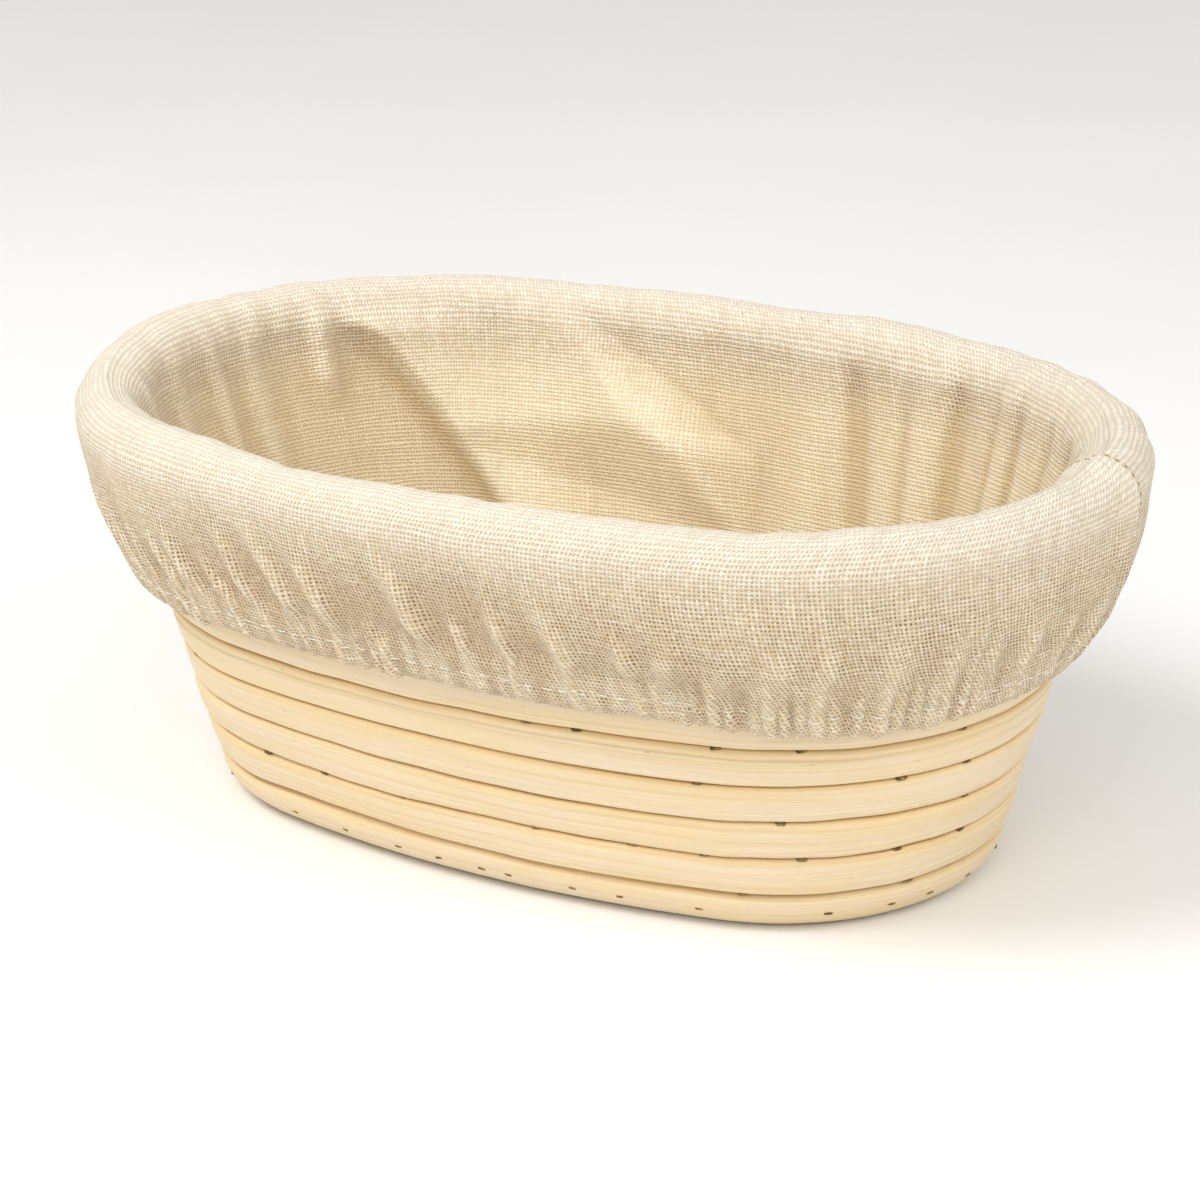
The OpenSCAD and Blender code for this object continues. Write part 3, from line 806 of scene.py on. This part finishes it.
def crest(S, Z, path, width, power=1.8):
    """How near a point is to a fold's crest, from 0 to 1, along (length, height) points; it fades at both ends."""
    path = np.array(path, float)
    order = np.argsort(path[:, 1])
    zs, ss = path[order, 1], path[order, 0]
    c = np.interp(Z, zs, ss)
    d = (S - c + GIRTH / 2) % GIRTH - GIRTH / 2
    fade = smooth(zs[0] - 4, zs[0] + 3, Z) * (1 - smooth(zs[-1] - 7, zs[-1] + 6, Z))
    return fade * np.exp(-np.abs(d / width) ** power)


def over(F, G):
    """Two crest fields together, still from 0 to 1."""
    return 1 - (1 - F) * (1 - G)


def hem_rise(s):
    """How far the hem is above its even height: it is held up along the sides and hangs lower round the ends."""
    t = turn_at(s)
    return 2.3 - 1.9 * np.abs(np.cos(t)) ** 1.4 + 1.5 * np.exp(-((np.degrees(t) - 10) / 28) ** 2) + waves(s, 60, 200, 0.25, 77, 6)


def build_strip():
    S, L = np.meshgrid(s_line, pl, indexing="ij")
    Z = np.repeat(pz[None, :], NU, 0)
    inside = (L < top_l)
    out = ~inside
    rng = np.random.default_rng(11)

    # ---- outside: long folds, which open out of the elastic hem
    F = np.zeros_like(S)
    long_folds = [
        ([(12, 50), (10, 64), (8, 76)], 2.2), ([(20, 50), (19, 64), (17, 80)], 2.0), ([(30, 50), (28, 62), (25, 76)], 2.2),
        ([(41, 50), (39, 62), (35, 78)], 2.3), ([(52, 50), (50, 66), (46, 80)], 2.2), ([(62, 50), (59, 64), (55, 78)], 2.2),
        ([(72, 50), (69, 64), (65, 77)], 2.0), ([(81, 50), (78, 64), (73, 79)], 2.2), ([(91, 50), (87, 62), (83, 76)], 2.0),
        ([(100, 50), (97, 62), (92, 74)], 1.7),
        ([(108, 54), (104, 62), (99, 75)], 2.3), ([(117, 50), (114, 60), (110, 68)], 1.6),
        ([(125, 54), (122, 62), (119, 71), (116, 82)], 2.2), ([(134, 54), (133, 65), (129, 74), (125, 82)], 2.2),
        ([(147, 50), (144, 60), (142, 68), (138, 80)], 2.8), ([(157, 50), (156, 56), (154, 62)], 1.6),
        ([(170, 50), (167, 62), (164, 70), (160, 82)], 2.9), ([(179, 50), (177, 60), (175, 68)], 1.8),
        ([(189, 50), (187, 62), (184, 74)], 2.3), ([(202, 50), (200, 63), (196, 75)], 2.4), ([(214, 50), (213, 64), (212, 71)], 2.2),
        ([(221, 50), (221, 64), (223, 74)], 2.2), ([(231, 50), (232, 60), (233, 66)], 2.4), ([(242, 50), (243, 62), (246, 74)], 3.0),
        ([(252, 50), (253, 62), (255, 74)], 2.6), ([(266, 50), (268, 62), (270, 76)], 3.6), ([(281, 50), (281, 62), (284, 76)], 2.8),
        ([(286.5, 50), (287, 64), (288, 82)], 1.1), ([(292, 50), (291, 62), (292, 74)], 2.0), ([(302, 50), (303, 62), (304, 74)], 2.8),
        ([(313, 50), (314, 62), (316, 72)], 2.6), ([(324, 50), (325, 62), (326, 70)], 2.4)]
    for path, w in long_folds:
        F = over(F, crest(S, Z, path, w))
    x = 334.0
    while x < GIRTH + 4:
        up = rng.uniform(10, 28)
        lean = rng.normal(0, 0.12)
        F = over(F, crest(S, Z, [(x, 50), (x - lean * up, 54 + up)], rng.uniform(1.8, 2.8)))
        x += rng.uniform(7, 12)
    # valley depth by place, and how high the folds reach
    depth = np.interp(s_line, [0, 90, 130, 180, 205, 235, 270, 325, 400, 560, GIRTH],
                      [2.0, 2.2, 2.9, 2.9, 2.5, 1.7, 1.5, 1.7, 2.1, 2.1, 2.0])
    reach = np.interp(s_line, [0, 90, 130, 180, 205, 235, 270, 325, 400, 560, GIRTH],
                      [82, 84, 88, 88, 82, 76, 82, 80, 78, 80, 82])
    grow = smooth(reach[:, None], reach[:, None] - 24, Z) * (0.55 + 0.45 * smooth(56, 66, Z))
    # short gathers at the hem
    P = np.zeros_like(S)
    x = 1.5
    while x < GIRTH - 1:
        up = rng.uniform(3, 12)
        lean = rng.normal(0.08, 0.08)
        P = over(P, crest(S, Z, [(x, 47), (x - lean * up, 54 + up)], rng.uniform(0.9, 1.6), 1.9))
        x += rng.uniform(2.8, 5.4)
    grow2 = smooth(68, 56, Z) * (1.25 + 0.65 * np.exp(-((S - 150) / 75) ** 2))
    valley = depth[:, None] * grow * (1 - F)
    valley2 = grow2 * (1 - P) * (1 - 0.6 * smooth(54, 50, Z))
    D = out * (-0.15 * F * grow - valley - valley2 + 0.30 * grow2)
    D += out * smooth(TURN_Z + 6, 70, Z) * (waves(s_line, 30, 160, 0.30, 21, 9)[:, None])
    # the skirt's own line at the two ends
    tdeg = np.degrees(turn_at(s_line))
    lz = np.interp(pz, [48, 53, 57, 60, 64, 70, 76, 82, 88], [-1.2, -1.5, -1.4, -1.1, -0.5, -0.4, -0.2, 0.2, 0.9])
    rz = np.interp(pz, [48, 51, 53, 55, 58, 61, 65, 70, 80, 86, 90], [-2.6, -2.4, -1.7, -1.0, -0.3, 0.1, 0.7, 0.8, 0.9, 0.7, 1.4])
    lw = np.exp(-(((tdeg + 150 + 180) % 360 - 180) / 42) ** 2)
    rw = np.exp(-((tdeg - 16) / 34) ** 2)
    D += out * (lw[:, None] * lz[None, :] + rw[:, None] * rz[None, :])
    D += out * smooth(TURN_Z, 72, Z) * waves(S + 0.6 * Z, 6, 16, 0.10, 23, 12)

    # ---- inside: the lining hangs loose and stands off the wall in places
    I = np.zeros_like(S)

    def slack(path, left, right, amp):
        path = np.array(path, float)
        path = path[np.argsort(path[:, 1])]
        c = np.interp(Z, path[:, 1], path[:, 0])
        d = (S - c + GIRTH / 2) % GIRTH - GIRTH / 2
        fade = smooth(path[0, 1] - 16, path[0, 1] + 6, Z) * (1 - smooth(path[-1, 1] - 4, path[-1, 1] + 6, Z))
        return amp * fade * np.where(d > 0, np.exp(-np.abs(d / left) ** 1.8), np.exp(-np.abs(d / right) ** 1.6))

    I += slack([(596, 88), (591, 85), (577, 72), (562, 58), (547, 46), (535, 34)], 5.6, 24.0, 7.0)
    I += slack([(609, 94), (609, 84), (608, 74)], 4.6, 4.2, 3.4) * smooth(66, 77, Z)
    ds, dz = (S - 515.0), (Z - 67.0)
    planes = [1 - (0.80 * ds + 0.60 * dz) / 45, 1 - (-0.459 * ds + 0.888 * dz) / 12.0,
              1 - (0.19 * ds - 0.98 * dz) / 17.0, 1 - (-ds - 8) / 26.0]
    k = 20.0
    lowest = -np.log(sum(np.exp(-k * q) for q in planes)) / k
    I += 8.2 * np.clip(lowest, 0, None) ** 1.1
    # soft upright folds towards the right-hand end
    R = np.zeros_like(S)
    for s0, s1, w in ((459, 447, 3.2), (443, 436, 2.2), (428, 426, 3.6), (414, 413, 2.0), (404, 401, 3.0), (388, 390, 2.2),
                      (373, 381, 3.4), (358, 365, 2.6), (346, 349, 2.4)):
        R = over(R, crest(S, Z, [(s0, 90), (s1, 30)], w, 1.9) * (0.45 if w < 2.5 else 1.0))
    here = smooth(328, 345, S) * (1 - smooth(462, 480, S))
    I += here * (1.3 - 1.35 * R + 0.5 * waves(s_line, 18, 60, 1.0, 61, 8)[:, None]) * smooth(16, 40, Z)
    for s0, s1, w, a in ((648, 642, 3.5, 1.6), (634, 626, 5.0, 1.6), (14, 20, 5.0, 1.4), (40, 46, 5.0, 1.6), (78, 88, 6.0, 2.2),
                         (118, 112, 6.0, 1.8), (150, 156, 7.0, 2.0), (190, 182, 8.0, 1.8), (228, 236, 6.0, 1.6),
                         (262, 256, 6.0, 1.8), (292, 296, 5.0, 1.4), (318, 316, 5.0, 1.3)):
        I += ridge(S, Z, [(s0, 90), (s1, 24)], w, a)
    I += (waves(s_line, 25, 90, 0.35, 31, 10)[:, None]) * smooth(12, 30, Z)
    low = smooth(10, 26, Z)
    D += np.clip(I + 0.1, -0.25, None) * inside * low * (1 - smooth(84, 93, Z))

    # ---- the turn over the rim: soft, slightly uneven, pulled down a little along the far side
    rim = np.exp(-((L - top_l) / 9.0) ** 2)
    soft = waves(s_line, 22, 110, 0.40, 41, 12) + waves(s_line, 9, 22, 0.12, 42, 12)
    tdir = turn_at(s_line)
    lift = np.interp(np.mod(tdeg, 360), [0, 20, 36, 50, 64, 74, 84, 97, 110, 119, 135, 151, 179, 200, 214, 235, 270, 310, 360],
                     [0.7, 0.9, 1.9, 2.1, 2.0, 2.3, 3.1, 2.1, 2.1, 2.2, 3.2, 3.0, 2.6, 1.6, 1.1, 0.7, 0.8, 0.7, 0.7])
    soft = soft * 0.85 + lift
    D += rim * soft[:, None]
    D += (np.exp(-((L - top_l - 9) / 6.0) ** 2)) * (waves(s_line, 8, 26, 0.18, 43, 14)[:, None])
    D += (np.exp(-((L - top_l + 8) / 5.0) ** 2)) * (waves(s_line, 8, 30, 0.22, 44, 14)[:, None])

    # ---- the closing seam at the right-hand end: the near edge lies over the far one
    ds = (S - s_of(5.0) + GIRTH / 2) % GIRTH - GIRTH / 2
    seam_on = smooth(14, 22, Z)
    lap = np.where(ds < 0, np.exp(-np.abs(ds / 7.0) ** 1.5), 0.0)
    D += seam_on * (1.7 * lap - 1.1 * np.exp(-((ds - 0.4) / 0.6) ** 2) + 0.25 * np.exp(-((ds - 2.2) / 1.4) ** 2))

    # ---- keep clear of the cane, of the elastic and of the sheet's own other side
    back = np.where(inside, -0.28, -1.1 - 2.6 * smooth(56, 66, Z))
    D = np.maximum(D, back)
    behind = smooth(pl[-1] - 9.0, pl[-1] - 5.0, L)
    D = D * (1 - behind) + np.clip(-0.3 * D, -0.3, 0.3) * behind

    B = pb[None, :] + pnb[None, :] * D
    Zz = pz[None, :] + pnz[None, :] * D
    # the hem rises and falls round the basket, and its edge is scalloped
    edge = smooth(66, 54, pz)[None, :] * (L > top_l)
    g0 = P[:, int(np.argmin(np.abs(pz - 52) + 100 * (pl < top_l)))]
    tip = smooth(54, 50, pz)[None, :] * (L > top_l)
    Zz = Zz + edge * hem_rise(s_line)[:, None] - tip * (0.30 * g0[:, None] - 0.1)
    X, Y = place(S, B)
    # how open the weave looks and how much painted shade it takes: most at the bottom of a fold, and on the inside
    # where the lining lies back against the wall
    deep = np.where(out, 0.64 + 0.62 * valley / 2.6 + 0.10 * valley2 - 0.46 * F * grow - 0.34 * P * grow2 + 0.10 * waves(S + 0.7 * Z, 14, 60, 1.0, 91, 10),
                    np.clip(0.50 - 0.085 * I, 0.03, 0.50) * smooth(92, 78, Z))
    sm = np.copy(D)
    for sh in range(-10, 11):
        sm = sm + np.roll(D, sh, 0)
    sm = sm / 22
    # painted shade in the inside's hollows and in the valleys of the upright folds
    deep = deep + np.where(inside, np.clip((sm - D) / 1.0, -0.25, 0.5) + 0.50 * R * here, 0)
    # on top of the rim: little painted shade and few open places, under the painted sheen
    flat = np.exp(-((L - top_l - 0.5) / 10.5) ** 2)
    deep = np.clip(deep * (1 - 0.85 * flat), 0, 1.2)
    return S, L, X, Y, Zz, B, D, deep, inside


S2, L2, X2, Y2, Z2, B2, D2, deep2, inside2 = build_strip()
# lengths along the threads: the strip is cut to the rim, and eased in below it
wid = 0.45 + 0.55 * (GIRTH + 2 * math.pi * (pb - BR)) / GIRTH
uu = np.arange(NU + 1) * GIRTH / NU
s0 = s_of(5.0)
ur = np.mod(uu - s0, GIRTH)
ur[-1] = ur[0] + (0 if ur[0] > 0 else 0)
# one unbroken run of U, with its jump at the closing seam
U = (ur[:, None] - GIRTH / 2) * wid[None, :] + 400.0
V = np.repeat(pl[None, :], NU + 1, 0) + 50.0
j = int(np.argmax(np.diff(ur) < -GIRTH / 2))
# the strip's attributes carry painted light: deep adds painted shade and opens the weave, inner paints the inside face
# lighter and warmer, turned paints a pale sheen over the rim
strip = grid_mesh("liner_strip", X2, Y2, Z2, None, True, False, flip=True,
                  attrs={"deep": deep2, "inner": smooth(top_l - 10, top_l - 24, L2),
                         "turned": np.exp(-((L2 - top_l - 1.0) / 11.0) ** 2)})
# UVs face by face, so that the jump falls on the seam
nfu = np.arange(NU)
Ua = np.where(True, ur[:-1], 0)
Ub = np.where(ur[1:] < ur[:-1], ur[1:] + GIRTH, ur[1:])
A0 = (Ua[:, None] - GIRTH / 2) * wid[None, :] + 400.0
A1 = (Ub[:, None] - GIRTH / 2) * wid[None, :] + 400.0
VV = pl + 50.0
a = np.stack([A0[:, :-1], np.repeat(VV[None, :-1], NU, 0)], -1)
b = np.stack([A1[:, :-1], np.repeat(VV[None, :-1], NU, 0)], -1)
c = np.stack([A1[:, 1:], np.repeat(VV[None, 1:], NU, 0)], -1)
d = np.stack([A0[:, 1:], np.repeat(VV[None, 1:], NU, 0)], -1)
w = np.stack([a, b, c, d], -2).reshape(-1, 4, 2)[:, ::-1]
strip.data.uv_layers.new(name="UVMap").data.foreach_set("uv", w.astype(np.float32).ravel())
strip.data.materials.append(MAT_LINEN)


sol = strip.modifiers.new("thickness", "SOLIDIFY")
sol.thickness = CLOTH * MM
sol.offset = 0.0
sol.use_rim = True
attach(strip, "liner")
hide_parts("liner_side_panel", "liner_rim_fold", "liner_skirt", "liner_hem_casing")


# bottom panel
def build_panel():
    nu, nr = 360, 40
    s = np.arange(nu) * GIRTH / nu
    edge = lining_mid(12.0) + 0.1
    XO, YO = place(s, np.full(nu, edge))
    Xe = np.clip(XO, -EX * 0.85, EX * 0.85)
    r = np.linspace(0, 1, nr)
    X = Xe[:, None] * (0.25 + 0.75 * r[None, :]) + (XO - Xe)[:, None] * r[None, :]
    Y = YO[:, None] * r[None, :]
    rr = r[None, :]
    Z = 11.65 + 0.0 * X
    Z = Z + (0.25 * np.sin(X / 17.0 + 1.0) * np.cos(Y / 13.0) + 0.12 * np.sin(X / 6.0 + Y / 9.0)) * (1 - rr ** 4)
    Z = np.maximum(Z, 11.40)
    # the edge turns up to meet the side strip
    Z = Z + 0.9 * smooth(0.93, 1.0, rr)
    return X, Y, Z


PX, PY, PZ = build_panel()
panel = grid_mesh("liner_bottom", PX, PY, PZ, None, True, False, flip=False, attrs={"deep": np.full(PX.shape, 0.3), "inner": np.ones(PX.shape), "turned": np.zeros(PX.shape)})
import bmesh
bm = bmesh.new()
bm.from_mesh(panel.data)
inner = [e for e in bm.edges if e.is_boundary and max(abs(v.co.y) for v in e.verts) < 0.001]
bmesh.ops.holes_fill(bm, edges=inner, sides=0)
bmesh.ops.remove_doubles(bm, verts=bm.verts, dist=1e-6)
bmesh.ops.triangulate(bm, faces=[f for f in bm.faces if len(f.verts) > 4])
bmesh.ops.recalc_face_normals(bm, faces=bm.faces)
if sum(f.normal.z for f in bm.faces) < 0:
    bmesh.ops.reverse_faces(bm, faces=bm.faces)
uvl = bm.loops.layers.uv.new("UVMap")
for f in bm.faces:
    f.smooth = True
    for l in f.loops:
        l[uvl].uv = (l.vert.co.x / MM + 200.0, l.vert.co.y / MM + 150.0)
area_panel = sum(f.calc_area() for f in bm.faces) * 1e6
bm.to_mesh(panel.data)
bm.free()
panel.data.materials.append(MAT_LINEN_B)
sol = panel.modifiers.new("thickness", "SOLIDIFY")
sol.thickness = CLOTH * MM
sol.offset = 0.0
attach(panel, "liner")
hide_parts("liner_base_panel")

# the turned-under seam edge below the panel
nu = 400
s = np.arange(nu) * GIRTH / nu
bb = np.array([46.9, 46.2, 44.6, 43.2, 43.1, 44.4, 46.0, 46.9])
zz = np.array([10.6, 10.75, 10.78, 10.75, 10.1, 10.02, 10.0, 10.1])
S3, B3 = np.meshgrid(s, bb, indexing="ij")
B3 = B3 + waves(s, 8, 40, 0.15, 71, 8)[:, None]
X3, Y3 = place(S3, B3)
Z3 = np.repeat(zz[None, :], nu, 0)
U3 = np.repeat((np.arange(nu + 1) * GIRTH / nu * 0.7 + 90)[:, None], 9, 1)
V3 = np.repeat((np.arange(9) * 1.3 + 20)[None, :], nu + 1, 0)
allow = grid_mesh("liner_bottom_seam", X3, Y3, Z3, (U3, V3), True, True, flip=False, attrs={"deep": np.full(X3.shape, 0.3), "inner": np.zeros(X3.shape), "turned": np.zeros(X3.shape)})
allow.data.materials.append(MAT_LINEN_B)
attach(allow, "liner")
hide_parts("liner_base_seam")

# elastic
nu, nv = 1500, 22
s = np.arange(nu) * GIRTH / nu
a = np.arange(nv) * 2 * math.pi / nv
S4, A4 = np.meshgrid(s, a, indexing="ij")
ca, sa = np.cos(A4), np.sin(A4)
rib = 0.10 * np.cos(np.round(GIRTH / 1.1) * 2 * math.pi * S4 / GIRTH) * (np.abs(ca) > 0.3)
hb = 0.36 * np.sign(ca) * np.abs(ca) ** 0.5 + (0.06 * np.cos(9 * sa * math.pi / 2) + rib) * np.sign(ca)
B4 = 68.65 + hb + waves(s, 8, 24, 0.10, 91, 10)[:, None]
Z4 = 51.8 + 1.35 * np.sign(sa) * np.abs(sa) ** 0.8 + hem_rise(s)[:, None] + waves(s, 8, 30, 0.10, 92, 10)[:, None]
X4, Y4 = place(S4, B4)
band = grid_mesh("hem_elastic", X4, Y4, Z4, None, True, True, flip=True)
band.data.materials.append(MAT_ELASTIC)
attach(band, "liner")
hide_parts("liner_hem_elastic")


# --------------------------------------------------------------- threads
def strip_point(s, l, lift=0.0):
    """A point on the strip's outer face at length s round and l along its line, in millimetres."""
    i = (np.asarray(s, float) % GIRTH) / GIRTH * NU
    jj = np.interp(l, pl, np.arange(NV))
    i0, j0 = int(math.floor(i)) % NU, int(min(max(math.floor(jj), 0), NV - 2))
    fi, fj = i - math.floor(i), jj - j0
    out = np.zeros(3)
    P = (X2, Y2, Z2)
    for c in range(3):
        A = P[c]
        out[c] = ((A[i0, j0] * (1 - fi) + A[(i0 + 1) % NU, j0] * fi) * (1 - fj)
                  + (A[i0, j0 + 1] * (1 - fi) + A[(i0 + 1) % NU, j0 + 1] * fi) * fj)
    i1, j1 = (i0 + 1) % NU, j0 + 1
    eu = np.array([A[i1, j0] - A[i0, j0] for A in P])
    ev = np.array([A[i0, j1] - A[i0, j0] for A in P])
    nn = np.cross(ev, eu)
    nn /= np.linalg.norm(nn)
    return out + nn * (CLOTH / 2 + lift)


out_side = (pl > top_l) & (pl < pl[int(np.argmin(pz + 100 * (pl < top_l)))])
l_stitch = float(pl[out_side][np.argmin(np.abs(pz[out_side] - 54.6))])
parts = []
rng = np.random.default_rng(5)
s = 1.0
while s < GIRTH - 2.4:
    ln = rng.uniform(2.1, 2.9)
    lv = rng.normal(0, 0.25)
    path = []
    for f in np.linspace(0, 1, 7):
        up = 0.16 * math.sin(math.pi * f) - (0.34 if f in (0.0, 1.0) else 0)
        path.append(strip_point(s + f * ln, l_stitch + lv + 0.12 * math.sin(f * 3 + s), up))
    parts.append(tube(path, 0.15, 6))
    s += ln + rng.uniform(1.3, 2.6)
hem_st = join_meshes("hem_stitches", parts)
hem_st.data.materials.append(MAT_THREAD)
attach(hem_st, "liner")
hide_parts("liner_hem_stitching")

# the closing seam's stitches: a close twisted row over the rim, coloured brown as painted shade for the shadows round
# the stitches
parts = []
sc = s_of(5.0)
l = float(pl[np.argmin(np.abs(pz - 16) + 100 * (pl > top_l))])
l_end = l_stitch - 6
rng = np.random.default_rng(6)
while l < l_end:
    path = []
    for f in np.linspace(0, 1, 5):
        low = float(smooth(top_l + 6, top_l + 16, l))
        path.append(strip_point(sc - 0.50 + 1.00 * f, l + 1.15 * f, 0.12 - 0.22 * low + (0.24 - 0.10 * low) * math.sin(math.pi * f)))
    parts.append(tube(path, 0.32 - 0.10 * low, 6))
    l += 1.32 + rng.uniform(-0.10, 0.10)
seam_st = join_meshes("closing_seam", parts)
seam_st.data.materials.append(MAT_SEAM_SHADE)
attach(seam_st, "liner")
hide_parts("liner_side_seam")

# ---------------------------------------------------------------- stage
bpy.ops.mesh.primitive_plane_add(size=8.0, location=(0, 0, -0.00005))
floor = bpy.context.object
floor.name = "floor"
floor.data.materials.append(floor_material("pale_floor"))

world = bpy.data.worlds.new("studio")
bpy.context.scene.world = world
world.use_nodes = True
world.node_tree.nodes["Background"].inputs[0].default_value = (1.0, 0.99, 0.975, 1)
world.node_tree.nodes["Background"].inputs[1].default_value = 0.68
bpy.context.scene.view_settings.view_transform = "Standard"
bpy.context.scene.view_settings.look = "None"


def area_light(name, loc, target, size, power, color=(1, 1, 1)):
    L = bpy.data.lights.new(name, "AREA")
    L.shape, L.size, L.energy, L.color = "DISK", size, power, color
    ob = bpy.data.objects.new(name, L)
    bpy.context.scene.collection.objects.link(ob)
    ob.location = loc
    import mathutils
    ob.rotation_euler = (mathutils.Vector(target) - mathutils.Vector(loc)).to_track_quat("-Z", "Y").to_euler()
    return ob


AZ, EL, DIST = math.radians(31.79), math.radians(20.14), 0.7923


def toward(az_deg, el_deg, r):
    a, e = math.radians(az_deg), math.radians(el_deg)
    return (r * math.sin(a) * math.cos(e), -r * math.cos(a) * math.cos(e), 0.047 + r * math.sin(e))


area_light("key", toward(-34, 54, 1.1), (0, 0, 0.05), 0.60, 7.0, (1.0, 0.985, 0.96))
area_light("fill", toward(85, 35, 1.2), (0, 0, 0.05), 0.8, 4.0, (1.0, 0.99, 0.98))
area_light("front", toward(20, 36, 1.3), (0, 0, 0.05), 0.75, 3.5, (1.0, 0.985, 0.955))

cam_data = bpy.data.cameras.new("camera")
cam = bpy.data.objects.new("camera", cam_data)
bpy.context.scene.collection.objects.link(cam)
bpy.context.scene.camera = cam
import mathutils
target = mathutils.Vector((0, 0, 0.0472))
back = mathutils.Vector((math.sin(AZ) * math.cos(EL), -math.cos(AZ) * math.cos(EL), math.sin(EL)))
cam.location = target + back * DIST
rot = (-back).to_track_quat("-Z", "Y")
roll = mathutils.Quaternion((0, 0, 1), -0.0141)
cam.rotation_euler = (rot @ roll).to_euler()
cam_data.sensor_width = 36.0
cam_data.lens = 3659.93 / 1200 * 36.0
cam_data.clip_end = 50
